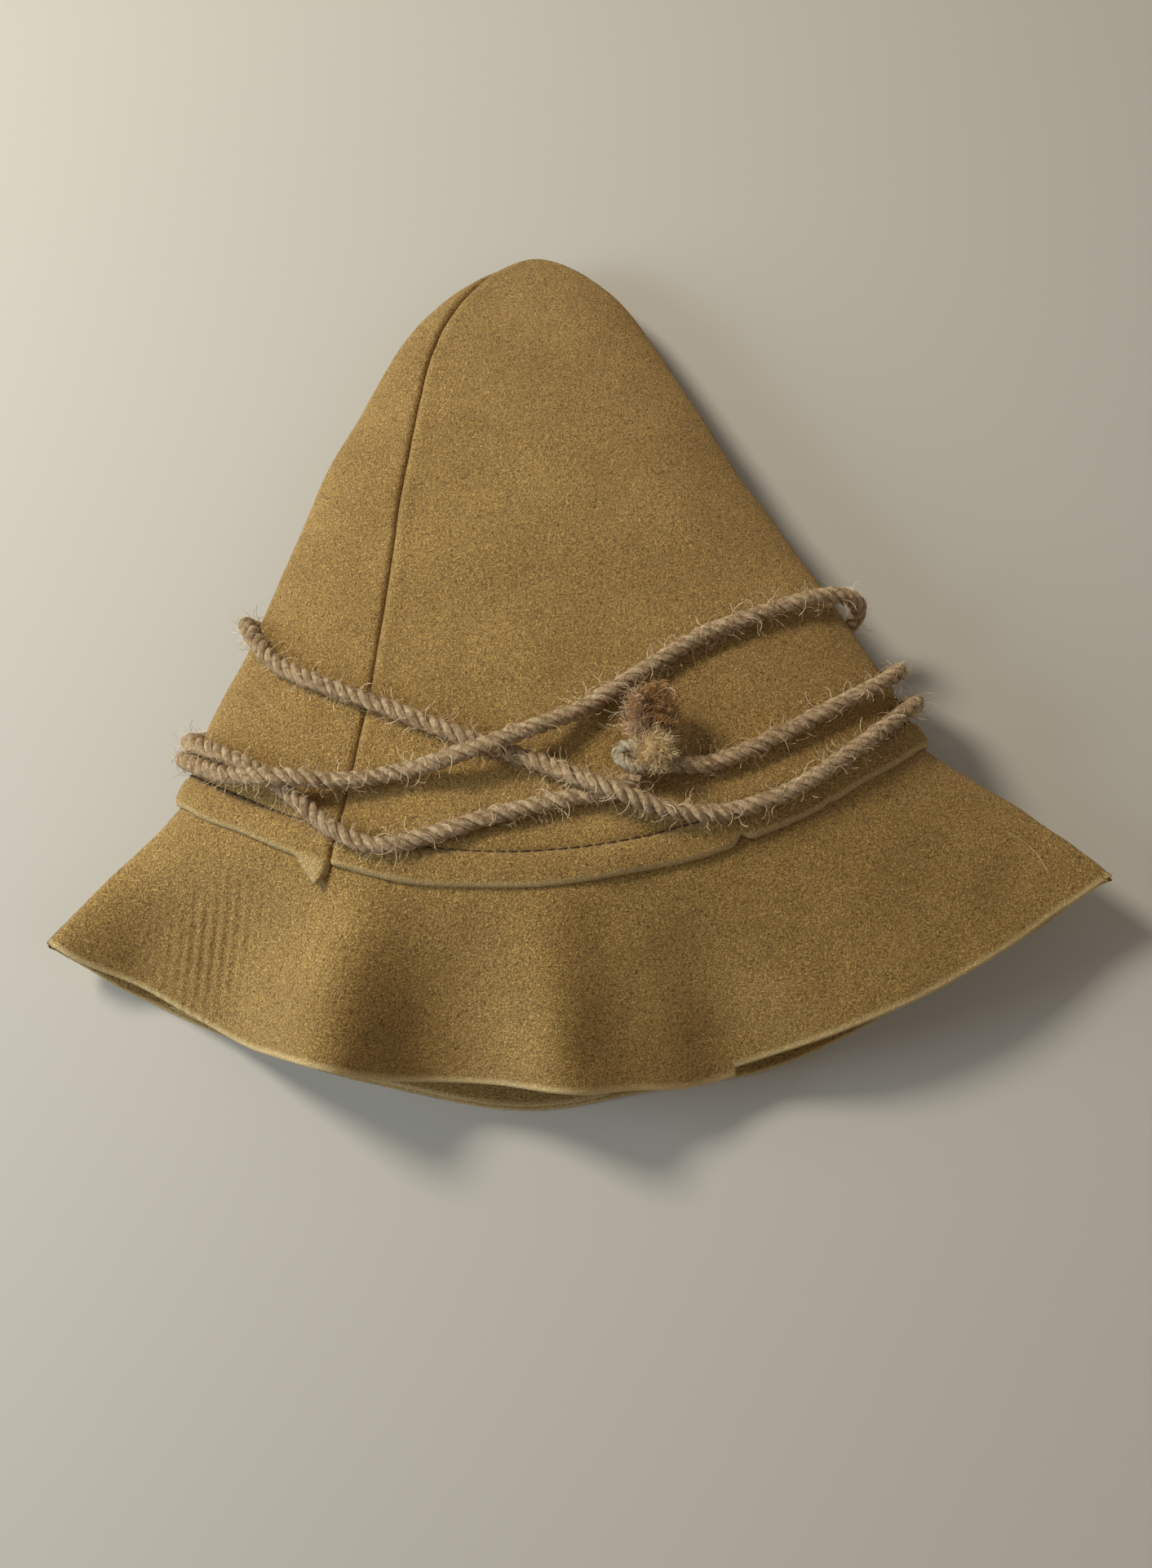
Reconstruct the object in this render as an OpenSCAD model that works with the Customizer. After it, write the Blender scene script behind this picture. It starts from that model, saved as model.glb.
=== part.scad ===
// Soft felt hat with a rope hatband, lying flat on its back.
// The point of the crown lies along +Y and the floor is Z = 0.

/* [Crown] */
// Width of the flattened crown at its lower edge, from fold to fold
crown_w = 298; // [240:1:360]
// Length of the crown from its point to its lower edge
crown_len = 290; // [235:1:350]
// Height of the middle of the crown above the floor
crown_rise = 62; // [50:1:80]

/* [Brim] */
// Width of the brim outside the crown
brim_w = 78; // [55:1:105]
// Height that the tallest wave adds to the front of the brim
wave_rise = 26; // [8:1:34]

/* [Felt] */
// Thickness of the felt
felt_t = 3; // [2:0.1:4]
// Width of the seam allowances turned in along the crown seams
seam_allow = 10; // [5:0.5:14]
// Length that the crown laps over the inner edge of the brim
lap = 14; // [12:0.5:18]
// Distance of the row of stitches from the crown's cut edge
stitch_inset = 10.5; // [7:0.5:11]
// Clearance left between two layers of felt
layer_gap = 0.3; // [0.1:0.1:0.6]

/* [Rope] */
// Diameter of the rope
rope_d = 7; // [5:0.1:9]
// Clearance between the rope and the felt
rope_gap = 0.9; // [0.6:0.1:1.5]

/* [Thread] */
// Distance from one stitch to the next
stitch_pitch = 6; // [4:0.5:10]
// Diameter of the thread
thread_d = 0.8; // [0.5:0.1:1.2]

/* [Hidden] */

// The felt surface has eleven stations from the point of the crown (0) to the brim's edge (10).
// The crown's cut edge is station 8. An angle of 0 is the right fold and 90 the middle of the top.
// Each station: left x, right x, left y, right y, sag, top, left fold, right fold, bottom, power.
// Lengths are in millimetres, the top is a share of crown_rise, the folds are shares of the way
// from bottom to top, and the bottom is in rope diameters above the resting felt.
STATIONS = [
  [ -17, -17, 244, 244,  0, 0.26, 0.50, 0.50, 2.05, 2.0],
  [ -49,  14, 228, 226, 19, 0.45, 0.58, 0.58, 0.35, 2.0],
  [ -74,  35, 201, 195, 26, 0.58, 0.54, 0.54, 0.00, 2.2],
  [ -91,  54, 165, 161, 28, 0.68, 0.49, 0.49, 0.20, 2.2],
  [-106,  71, 131, 129, 31, 0.76, 0.39, 0.39, 1.35, 2.2],
  [-118,  89,  95, 100, 34, 0.82, 0.34, 0.34, 2.10, 2.2],
  [-130, 106,  59,  71, 37, 0.89, 0.34, 0.34, 2.30, 2.2],
  [-144, 124,  26,  42, 41, 0.95, 0.41, 0.41, 1.30, 2.2],
  [-158, 140,  -8,  16, 50, 1.00, 0.45, 0.47, 0.00, 2.5],
  [-184, 177, -36, -10, 60, 0.73, 0.55, 0.68, 0.00, 3.0],
  [-209, 212, -64, -38, 72, 0.40, 0.78, 1.18, 0.00, 3.5]];

// Brim waves: angle, width in degrees, share of wave_rise.
WAVES = [[117, 8, 1.0], [92, 6.5, 0.7], [74, 6.5, -0.35], [52, 18, 0.35], [134, 10, -0.3]];

// The stations above are drawn at these sizes.
base_w = 298;
base_len = 290;
base_brim = 78;
sx = crown_w / base_w;
sy = crown_len / base_len;
sb = brim_w / base_brim;

// Station numbers of the edges.
level_len = crown_len / 8;
cut_edge = 8;
lap_edge = cut_edge - lap / level_len;
stitch_level = cut_edge - stitch_inset / level_len;
outer_edge = 10;

// The brim hangs this far inside the crown's surface, and is pressed flat where it rests.
brim_drop = felt_t + layer_gap;
press = 0.4;

function mix(a, b, t) = a + (b - a) * t;
function unit(v) = v / norm(v);
function bump(a, centre, width) = exp(-pow((a - centre) / width, 2));
function wave(a) = wave_rise * (WAVES[0][2] * bump(a, WAVES[0][0], WAVES[0][1])
                   + WAVES[1][2] * bump(a, WAVES[1][0], WAVES[1][1])
                   + WAVES[2][2] * bump(a, WAVES[2][0], WAVES[2][1])
                   + WAVES[3][2] * bump(a, WAVES[3][0], WAVES[3][1])
                   + WAVES[4][2] * bump(a, WAVES[4][0], WAVES[4][1]));
function wave_share(i) = i == 10 ? 1 : (i == 9 ? 0.5 : (i == 8 ? 0.05 : 0));

// Heights at a station.
function low(i) = i > 8 ? felt_t / 2 - brim_drop - press : felt_t / 2 + STATIONS[i][8] * rope_d;
function high(i) = i == 0 ? low(0) : STATIONS[i][5] * crown_rise;
function fold_left(i) = mix(low(i), high(i), STATIONS[i][6]);
function fold_right(i) = mix(low(i), high(i), STATIONS[i][7]);

// Plan positions scaled to the sizes, with the hat's middle over the origin.
function scaled(i, c, s) = i <= 8 ? STATIONS[i][c] * s
                         : STATIONS[8][c] * s + (STATIONS[i][c] - STATIONS[8][c]) * sb;
function sag(i) = scaled(i, 4, sy);
middle_x = (scaled(10, 0, sx) + scaled(10, 1, sx)) / 2;
middle_y = (scaled(0, 2, sy) + (scaled(10, 2, sy) + scaled(10, 3, sy)) / 2 - sag(10)) / 2;
function plan_x(i, side) = scaled(i, side, sx) - middle_x;
function plan_y(i, side) = scaled(i, 2 + side, sy) - middle_y;

// A point of the felt's middle surface at a whole station.
function arch(c, p) = pow(max(1 - pow(min(abs(c), 1), p), 0), 1 / p);
function section(i, a, c, s) =
  let (w = (1 + c) / 2, zf = mix(fold_left(i), fold_right(i), w),
       zm = (fold_left(i) + fold_right(i)) / 2)
  [mix(plan_x(i, 0), plan_x(i, 1), w),
   mix(plan_y(i, 0), plan_y(i, 1), w) - sag(i) * s * s,
   s >= 0 ? zf + (high(i) - zm) * arch(c, 2) + wave(a) * wave_share(i)
          : zf - (zm - low(i)) * arch(c, STATIONS[i][9])];
function turn(a) = a < 0 ? a + 360 : (a >= 360 ? a - 360 : a);
function station(i, a) =
  i < 0 ? station(-i, turn(a + 180))
  : i > 10 ? station(10, a) * (i - 9) - station(9, a) * (i - 10)
  : section(i, a, cos(a), sin(a));

// A smooth curve through four stations.
function spline(p0, p1, p2, p3, t) =
  (2 * p1 + (p2 - p0) * t + (2 * p0 - 5 * p1 + 4 * p2 - p3) * t * t
   + (3 * p1 - p0 - 3 * p2 + p3) * t * t * t) / 2;
function felt(k, ang) =
  let (a = turn(ang), i = min(floor(k + 0.000001), 10), t = k - i)
  spline(station(i - 1, a), station(i, a), station(i + 1, a), station(i + 2, a), t);
function along(k, a) = felt(k, a + 1) - felt(k, a - 1);
function down(k, a) = felt(k + 0.02, a) - felt(k - 0.02, a);
function outward(k, a) = let (j = max(k, 0.03)) unit(cross(along(j, a), down(j, a)));
function above(k, a, h) = felt(k, a) + outward(k, a) * h;
function flat(p) = [p[0], p[1], max(p[2], 0)];

// The two crown seams run from the point to the cut edge, one on each side.
seam_curve = [[0, 180], [0.6, 168], [1, 156], [1.3, 151], [1.9, 142], [2.5, 136.5],
              [3.4, 131], [4.3, 127.5], [5.2, 126], [6, 125], [7, 124], [9, 124]];
function seam_left(k) = lookup(k, seam_curve);
function seam_right(k) = seam_left(k) + 180;
function deg(k, a, mm) = mm / max(norm(along(k, a)) / 2, 0.02);
function flange(k) = lookup(k, [[0, 0], [0.5, 0.1], [2, 1], [7.1, 1], [7.5, 0.05], [8, 0]]) * seam_allow;

// Rows of the crown, closer near the point.
crown_rows = [0.04, 0.12, 0.25, 0.45, 0.7, 1, 1.5, 2, 2.5, 3, 3.5, 4, 4.5, 5, 5.5, 6, 6.5,
              7, 7.3, 7.5, 7.75, 8];
crown_cols = 34;
notch_angle = 61.5;
function notch(a) = 0.09 * bump(a, notch_angle, 1.2);

// Depth of a panel's inner side, which closes up towards the point.
function inside(k) = felt_t / 2 * lookup(k, [[0, 0.1], [0.35, 0.35], [0.8, 1]]);

// A small corner of the back panel's seam allowance shows below its cut edge and curls up a little.
function corner(a) = 0.28 * bump(a, seam_left(8) + 1.2, 2.5);
function curl(a) = corner(a) * 5;

// One crown panel: a grid of outer and inner points with a turned-in flange at both seams.
module panel(from_seam) {
  seam_gap = 0.25;
  n = crown_cols;
  rows = [for (k = crown_rows)
    let (a0 = from_seam == 0 ? seam_right(k) - 360 : seam_left(k),
         a1 = from_seam == 0 ? seam_left(k) : seam_right(k),
         b0 = a0 + min(deg(k, a0, seam_gap / 2), 4), b1 = a1 - min(deg(k, a1, seam_gap / 2), 4),
         t0 = min(deg(k, a0, felt_t), 20), t1 = min(deg(k, a1, felt_t), 20),
         f = inside(k) + flange(k) + 0.05, edge = k == cut_edge ? 1 : 0, show = edge * from_seam)
    concat(
      [for (j = [0 : n]) let (a = mix(b0, b1, j / n)) flat(above(k - edge * notch(a), a, felt_t / 2))],
      [flat(above(k, b1, -f)), flat(above(k, b1 - t1, -f))],
      [for (j = [n : -1 : 0]) let (a = mix(b0 + t0, b1 - t1, j / n))
        above(k - edge * notch(a) + show * corner(a), a, show * curl(a) - inside(k))],
      [flat(above(k + show * corner(b0 + t0), b0 + t0, -f + show * curl(b0 + t0))),
       flat(above(k + show * corner(b0), b0, -f + show * curl(b0)))])];
  tube_grid(rows, n);
}

// Skins rows of C-shaped sections into one closed solid.
module tube_grid(rows, n) {
  m = len(rows[0]);
  last = len(rows) - 1;
  points = [for (r = rows, p = r) p];
  sides = [for (i = [0 : last - 1], j = [0 : m - 1]) let (q = (j + 1) % m)
    each [[i * m + j, (i + 1) * m + j, i * m + q], [i * m + q, (i + 1) * m + j, (i + 1) * m + q]]];
  function inner(j) = 2 * n + 3 - j;
  function cap(b) = concat(
    [for (j = [0 : n - 1]) each [[b + j, b + j + 1, b + inner(j + 1)], [b + j, b + inner(j + 1), b + inner(j)]]],
    [[b + n, b + n + 1, b + n + 2], [b + n, b + n + 2, b + n + 3],
     [b + 2 * n + 4, b + 2 * n + 5, b], [b + 2 * n + 3, b + 2 * n + 4, b]]);
  turned_cap = [for (f = cap(last * m)) [f[2], f[1], f[0]]];
  polyhedron(points, concat(sides, cap(0), turned_cap));
}

module crown_front_panel() {
  color([0.68, 0.56, 0.40]) panel(0);
}

module crown_back_panel() {
  color([0.66, 0.54, 0.38]) panel(1);
}

// The brim is one flat-cut ring of felt whose extra length stands up in waves.
brim_step_angle = 74.5;
function trim(a) = a < brim_step_angle ? 0 : 0.08 * exp(-(a - brim_step_angle) / 20);
brim_cols = concat([for (a = [0 : 4.5 : 72]) a], [74.2, 74.8], [for (a = [77 : 3.5 : 137]) a],
                   [for (a = [141 : 6.5 : 355]) a]);
brim_rows = [0, 0.14, 0.3, 0.45, 0.6, 0.75, 0.9, 1];

module brim() {
  n = len(brim_cols);
  r = len(brim_rows);
  function level(q, a) = mix(lap_edge, outer_edge + trim(a), q);
  upper = [for (q = brim_rows, a = brim_cols) flat(above(level(q, a), a, felt_t / 2 - brim_drop))];
  lower = [for (q = brim_rows, a = brim_cols) flat(above(level(q, a), a, -felt_t / 2 - brim_drop))];
  base = n * r;
  skin = [for (i = [0 : r - 2], j = [0 : n - 1]) let (q = (j + 1) % n, p = i * n)
    each [[p + j, p + n + j, p + q], [p + q, p + n + j, p + n + q],
          [base + p + q, base + p + n + j, base + p + j],
          [base + p + n + q, base + p + n + j, base + p + q]]];
  rims = [for (j = [0 : n - 1]) let (q = (j + 1) % n, e = (r - 1) * n)
    each [[j, q, base + j], [q, base + q, base + j],
          [base + e + j, e + q, e + j], [base + e + j, base + e + q, e + q]]];
  color([0.70, 0.58, 0.42]) polyhedron(concat(upper, lower), concat(skin, rims));
}

// A short stitch of thread between two points, as a six-sided bar.
module stitch(p, q, up) {
  d = unit(q - p);
  s = unit(cross(d, up));
  u = cross(s, d);
  r = thread_d / 2;
  ring = [for (i = [0 : 5]) s * r * cos(60 * i) + u * r * sin(60 * i)];
  polyhedron(concat([for (v = ring) p + v], [for (v = ring) q + v]),
    concat([[5, 4, 3, 2, 1, 0], [6, 7, 8, 9, 10, 11]],
           [for (i = [0 : 5]) let (j = (i + 1) % 6) [i, j, j + 6, i + 6]]));
}

// Stitches along the lap, a little sunk into the crown.
module brim_topstitch() {
  turns = round(3.141593 * crown_w * 0.66 / stitch_pitch);
  sink = felt_t / 2 + thread_d * 0.1;
  color([0.35, 0.26, 0.17])
    for (i = [0 : turns - 1]) {
      a = stitch_angle(i / turns);
      b = stitch_angle((i + 0.72) / turns);
      stitch(above(stitch_level, a, sink), above(stitch_level, b, sink),
             outward(stitch_level, (a + b) / 2));
    }
}
// Spreads the stitches more evenly, because the folds take less width than the middle.
function stitch_angle(t) = 360 * t + 7 * sin(720 * t);

// Stitches through both seam allowances just below the surface.
module seam_thread(left) {
  depth = felt_t / 2 + 1.8;
  color([0.40, 0.30, 0.20])
    for (i = [0 : 34]) {
      k = mix(2.2, 6.9, i / 34);
      a = left ? seam_left(k) : seam_right(k);
      w = deg(k, a, felt_t + 0.4);
      stitch(above(k, a - w, -depth - 1.2), above(k, a + w, -depth - 1.2), outward(k, a));
    }
}

module seam_thread_left() {
  seam_thread(true);
}

module seam_thread_right() {
  seam_thread(false);
}

// Rope route, three times round the crown: station, angle, lift.
// The lift is in rope diameters above the felt, or minus the layer number on the floor.
ROUTE = [
  [7.00, 73, 0.1], [7.12, 69, 0], [7.2, 62, 0], [7.15, 50, 0], [7.1, 36, 0], [7.1, 20, 0.1],
  [7.05, 6, 0.3], [6.95, 352, 0.4], [6.75, 338, 0.5],
  [6.3, 322, 0.4], [5.8, 303, -1], [5.6, 276, -1], [5.93, 251, -1.5], [6.4, 237, -2],
  [6.8, 225, -2], [7.15, 213, -1.8], [7.45, 201, 0.3], [7.6, 190, 0.3], [7.66, 178, 0.1],
  [7.66, 165, 0], [7.62, 151, 0.5], [7.54, 142, 1.05], [7.42, 133, 1.05], [7.28, 124, 0.3],
  [7.06, 114, 0.2], [6.86, 105, 0.95], [6.68, 98, 1.1], [6.5, 91, 0.95], [6.3, 84, 0.2],
  [5.96, 72, 0], [5.72, 57, 0], [5.72, 42, 0], [5.8, 26, 0.1], [5.92, 14, 0.4],
  [6.1, 2, 0.6], [6.2, 350, 0.7], [6.15, 337, 0.6],
  [5.8, 319, -1.2], [5.2, 292, -1], [5.0, 256, -1], [5.35, 228, -1.1], [5.55, 210, 0.5],
  [5.72, 197, 0.6], [5.82, 186, 0.4], [5.92, 174, 0.2],
  [6.08, 162, 0], [6.25, 150, 0], [6.3, 134, 0], [6.38, 118, 0], [6.55, 106, 0], [6.7, 98, 0],
  [6.88, 91, 0.15], [7.14, 85, 1.0], [7.36, 79, 1.1], [7.58, 72, 0.4], [7.74, 63, 0],
  [7.78, 51, 0], [7.7, 37, 0.1], [7.62, 22, 0.1], [7.55, 9, 0.2], [7.45, 356, 0.3],
  [7.3, 342, 0.3], [7.1, 328, 0.2], [6.7, 307, -1], [6.45, 276, -1], [6.4, 250, -1],
  [6.45, 228, -1], [6.75, 212, -1.2], [7.05, 200, 0.4], [7.25, 188, 0.4], [7.38, 176, 0.1],
  [7.4, 165, 0], [7.4, 153, 0], [7.42, 143, 0], [7.54, 133, 0], [7.72, 125, 0],
  [7.8, 116, 0], [7.6, 107, 0], [7.42, 99, 0], [7.28, 89, 0], [7.24, 81, 0], [7.16, 76, 0.15]];

function route_point(r) = r[2] < 0
  ? let (p = felt(r[0], r[1])) [p[0], p[1], -r[2] * rope_d - rope_d / 2 + 0.15 * (-r[2] - 1)]
  : above(r[0], r[1], felt_t / 2 + rope_gap + rope_d / 2 + r[2] * rope_d);
path = [for (r = ROUTE) route_point(r)];
rope_sides = 10;

// Directions across the rope are carried along from ring to ring so that it doesn't twist.
function heading(i) = unit(path[min(i + 1, len(path) - 1)] - path[max(i - 1, 0)]);
function carried(i, s) = let (h = heading(i)) unit(s - h * (s * h));
function sides_from(i, s) = i >= len(path) ? []
  : let (c = carried(i, s)) concat([c], sides_from(i + 1, c));
across = sides_from(0, [0, 0, 1]);

module rope_band() {
  n = rope_sides;
  r = rope_d / 2;
  last = len(path) - 1;
  points = [for (i = [0 : last], j = [0 : n - 1])
    let (s = across[i], u = cross(heading(i), s), a = 360 * j / n)
    flat(path[i] + s * r * cos(a) + u * r * sin(a))];
  skin = [for (i = [0 : last - 1], j = [0 : n - 1]) let (q = (j + 1) % n)
    each [[i * n + j, (i + 1) * n + j, i * n + q],
          [i * n + q, (i + 1) * n + j, (i + 1) * n + q]]];
  ends = [[for (j = [0 : n - 1]) j], [for (j = [n - 1 : -1 : 0]) last * n + j]];
  color([0.66, 0.52, 0.34]) polyhedron(points, concat(skin, ends));
}

// The knot that joins the rope's two ends.
knot_at = above(7.02, 74.6, felt_t / 2 + rope_gap + rope_d * 0.95);

module rope_knot() {
  color([0.62, 0.48, 0.31])
    translate(knot_at) rotate([-18, 6, 20]) scale([1.28, 0.95, 0.86]) sphere(d = rope_d * 2, $fn = 18);
}

// A tuft of loose fibres, drawn as a flattened cone that opens away from the knot.
module tuft(from, to, w1, w2, h1, h2) {
  d = unit(to - from);
  s = unit(cross(d, [0, 0, 1]));
  u = cross(s, d);
  n = 10;
  function ring(c, w, h) = [for (j = [0 : n - 1])
    c + s * w / 2 * cos(36 * j) + u * h / 2 * sin(36 * j)];
  points = concat(ring(from, w1, h1), ring(mix(from, to, 0.55), mix(w1, w2, 0.7), mix(h1, h2, 0.5)),
                  ring(to, w2, h2));
  skin = [for (i = [0 : 1], j = [0 : n - 1]) let (q = (j + 1) % n)
    each [[i * n + j, i * n + q, (i + 1) * n + j], [i * n + q, (i + 1) * n + q, (i + 1) * n + j]]];
  polyhedron(points, concat(skin, [[for (j = [n - 1 : -1 : 0]) j], [for (j = [0 : n - 1]) 2 * n + j]]));
}

module rope_tuft_upper() {
  color([0.45, 0.32, 0.19])
    tuft(knot_at + [0, 2, 1], above(6.5, 72.5, felt_t / 2 + rope_gap + rope_d * 0.75),
         rope_d * 0.8, rope_d * 3, rope_d * 0.7, rope_d * 0.9);
}

module rope_tuft_lower() {
  color([0.78, 0.66, 0.48])
    tuft(knot_at + [2, 1, rope_d * 0.45], knot_at + [8, 10, rope_d * 0.75],
         rope_d * 0.7, rope_d * 1.5, rope_d * 0.6, rope_d * 0.6);
}

crown_front_panel();
crown_back_panel();
brim();
seam_thread_left();
seam_thread_right();
brim_topstitch();
rope_band();
rope_knot();
rope_tuft_upper();
rope_tuft_lower();
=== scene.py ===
"""Looks of a felt witch hat with a rope hatband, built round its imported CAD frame.

Every length in the shape code is in millimetres until a mesh is made, when it becomes metres.
"""

import math

import bpy
import numpy as np
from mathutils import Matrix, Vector


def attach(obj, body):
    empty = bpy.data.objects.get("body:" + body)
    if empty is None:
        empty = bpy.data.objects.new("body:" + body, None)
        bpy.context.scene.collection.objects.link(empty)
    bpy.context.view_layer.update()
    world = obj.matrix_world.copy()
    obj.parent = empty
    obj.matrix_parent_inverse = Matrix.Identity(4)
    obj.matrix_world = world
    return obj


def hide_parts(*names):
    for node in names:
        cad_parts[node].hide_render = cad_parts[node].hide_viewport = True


bl_info = {
    "name": "Felt Hat Maker",
    "version": (1, 0, 0),
    "blender": (4, 5, 0),
    "location": "3D View > Sidebar > Felt Hat",
    "description": "Builds a soft felt hat with a rope hatband round its CAD frame",
    "category": "Object",
}

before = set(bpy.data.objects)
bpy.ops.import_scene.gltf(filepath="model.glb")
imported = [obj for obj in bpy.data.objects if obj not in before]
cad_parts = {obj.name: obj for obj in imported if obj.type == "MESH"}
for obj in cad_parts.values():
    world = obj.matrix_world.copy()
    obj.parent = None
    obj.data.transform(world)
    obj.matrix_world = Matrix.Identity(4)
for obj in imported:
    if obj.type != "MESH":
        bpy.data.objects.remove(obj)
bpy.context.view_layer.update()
MM = 0.001

# ---------------------------------------------------------------------------
# The hat's shape, as the CAD has it
# ---------------------------------------------------------------------------

CROWN_RISE = 62.0
WAVE_RISE = 26.0
FELT = 3.0
ROPE = 7.0
ROPE_GAP = 0.9
LAYER_GAP = 0.3
LEVEL = 290.0 / 8
MIDDLE = (1.5, 60.5)
BRIM_DROP = FELT + LAYER_GAP
LAP_EDGE = 8 - 14 / LEVEL
STITCH_LEVEL = 8 - 10.5 / LEVEL
NOTCH_ANGLE = 61.5
# The visual's own measures: the least height over the floor, how far a stitch is sunk into the
# felt, how wide the turned-in seam allowance is, and how far its corner shows at the left seam.
FLOOR = 0.02
STITCH_DEPTH = 0.95
ALLOWANCE = 9.0
FLAP = 8.8
# Steps along the rope and the knot, and points round a strand.
ROPE_STEP = 1.2
KNOT_STEP = 0.6
STRAND_SIDES = 9
# Points round and across the brim, and the angle at which its rim steps.
BRIM_COLUMNS = 440
BRIM_ROWS = 48
RIM_STEP = 73.4

CAMERA_ELEVATION = 76
CAMERA_LENS = 33.04
FLOOR_HALF = 4000
# Each light: place, size, share of the key light's power, tint.
LIGHTS = (
    ("key light", (-0.85, 0.55, 0.95), 0.34, 1.0, (1.0, 0.93, 0.80)),
    ("low light", (-1.2, -0.15, 0.5), 0.7, 0.75, (0.76, 0.90, 1.0)),
    ("side light", (1.0, -0.5, 1.1), 1.2, 0.14, (1.0, 0.95, 0.9)))
SPECK_COLOR = (0.03, 0.015, 0.006, 1)
# Painted shade: the dark colour laid in the hollows between the rope's strands.
GAP_SHADE_COLOR = (0.035, 0.016, 0.007, 1)
JUTE_HAIR = ("jute hair", (0.88, 0.72, 0.48), (0.58, 0.40, 0.22))

# Each station of the felt: left x, right x, left y, right y, sag, top share of the crown's rise,
# left fold share, right fold share, bottom in rope diameters, and the power of the back's curve.
STATIONS = [
    (-17, -17, 244, 244, 0, 0.26, 0.50, 0.50, 2.05, 2.0),
    (-49, 14, 228, 226, 19, 0.45, 0.58, 0.58, 0.35, 2.0),
    (-74, 35, 201, 195, 26, 0.58, 0.54, 0.54, 0.00, 2.2),
    (-91, 54, 165, 161, 28, 0.68, 0.49, 0.49, 0.20, 2.2),
    (-106, 71, 131, 129, 31, 0.76, 0.39, 0.39, 1.35, 2.2),
    (-118, 89, 95, 100, 34, 0.82, 0.34, 0.34, 2.10, 2.2),
    (-130, 106, 59, 71, 37, 0.89, 0.34, 0.34, 2.30, 2.2),
    (-144, 124, 26, 42, 41, 0.95, 0.41, 0.41, 1.30, 2.2),
    (-158, 140, -8, 16, 50, 1.00, 0.45, 0.47, 0.00, 2.5),
    (-184, 177, -36, -10, 60, 0.73, 0.55, 0.68, 0.00, 3.0),
    (-209, 212, -64, -38, 72, 0.40, 0.78, 1.18, 0.00, 3.5),
]

# Brim waves: angle, width in degrees, share of the wave's rise.
WAVES = [(117, 8, 1.0), (92, 6.5, 0.7), (74, 6.5, -0.35), (52, 18, 0.35), (134, 10, -0.3)]

# Changes to the waves at the brim's edge, which make them steep on their right sides: height,
# angle, width.
STEEPER = [(3.8, 119, 5.5), (-1.6, 105.5, 4.5), (1.4, 91, 4.6), (3.0, 80, 6.0),
           (-5.4, 146, 8.0), (2.5, 127, 5.0)]

# The crown's left seam: level, angle. The right seam is half a turn further round.
SEAM = np.array([(0, 180), (0.6, 168), (1, 156), (1.3, 151), (1.9, 142), (2.5, 136.5),
                 (3.4, 131), (4.3, 127.5), (5.2, 126), (6, 125), (7, 124), (9, 124)], float)

# The rope's route, three times round the crown: level, angle, lift in rope diameters above the
# felt, or minus the layer's number where it lies on the floor.
ROUTE = [
    (7.00, 73, 0.1), (7.12, 69, 0), (7.2, 62, 0), (7.15, 50, 0), (7.1, 36, 0), (7.1, 20, 0.1),
    (7.05, 6, 0.3), (6.95, 352, 0.4), (6.75, 338, 0.5),
    (6.3, 322, 0.4), (5.8, 303, -1), (5.6, 276, -1), (5.93, 251, -1.5), (6.4, 237, -2),
    (6.8, 225, -2), (7.15, 213, -1.8), (7.38, 201, 0.3), (7.47, 190, 0.3), (7.57, 178, 0.1),
    (7.6, 165, 0), (7.6, 151, 0.5), (7.54, 142, 1.05), (7.42, 133, 1.05), (7.28, 124, 0.3),
    (7.06, 114, 0.2), (6.86, 105, 0.95), (6.68, 98, 1.1), (6.5, 91, 0.95), (6.3, 84, 0.2),
    (5.96, 72, 0), (5.72, 57, 0), (5.72, 42, 0), (5.8, 26, 0.1), (5.92, 14, 0.4),
    (6.1, 2, 0.6), (6.2, 350, 0.7), (6.15, 337, 0.6),
    (5.8, 319, -1.2), (5.2, 292, -1), (5.0, 256, -1), (5.35, 228, -1.1), (5.55, 210, 0.5),
    (5.72, 197, 0.6), (5.82, 186, 0.4), (5.92, 174, 0.2),
    (6.08, 162, 0), (6.25, 150, 0), (6.3, 134, 0), (6.38, 118, 0), (6.55, 106, 0), (6.7, 98, 0),
    (6.88, 91, 0.15), (7.14, 85, 1.0), (7.36, 79, 1.1), (7.58, 72, 0.4), (7.74, 63, 0),
    (7.78, 51, 0), (7.7, 37, 0.1), (7.62, 22, 0.1), (7.55, 9, 0.2), (7.45, 356, 0.3),
    (7.3, 342, 0.3), (7.1, 328, 0.2), (6.7, 307, -1), (6.45, 276, -1), (6.4, 250, -1),
    (6.45, 228, -1), (6.75, 212, -1.2), (7.05, 200, 0.4), (7.25, 188, 0.4), (7.38, 176, 0.1),
    (7.4, 165, 0), (7.4, 153, 0), (7.42, 143, 0), (7.54, 133, 0), (7.72, 125, 0),
    (7.8, 116, 0), (7.6, 107, 0), (7.42, 99, 0), (7.28, 89, 0), (7.24, 81, 0), (7.16, 76, 0.15),
]

# Middle lines of the knot's bight and of the rope's short end.
KNOT_BIGHT = [(37, -63.4, 66.6), (30, -64.6, 67.2), (23.5, -65.0, 68.4), (18.6, -64.2, 69.3),
              (15.2, -62.2, 68.6), (14.2, -59.6, 67.6), (15.6, -57.2, 68.2), (19.2, -56.6, 69.6),
              (23.4, -57.4, 70.4), (27.0, -58.6, 70.6)]
KNOT_STUB = [(17.0, -63.5, 65.6), (20.5, -60.5, 67.4), (22.8, -57.2, 70.4), (23.8, -53.6, 71.8),
             (24.4, -50.0, 71.6), (25.2, -46.5, 71.4)]

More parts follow.
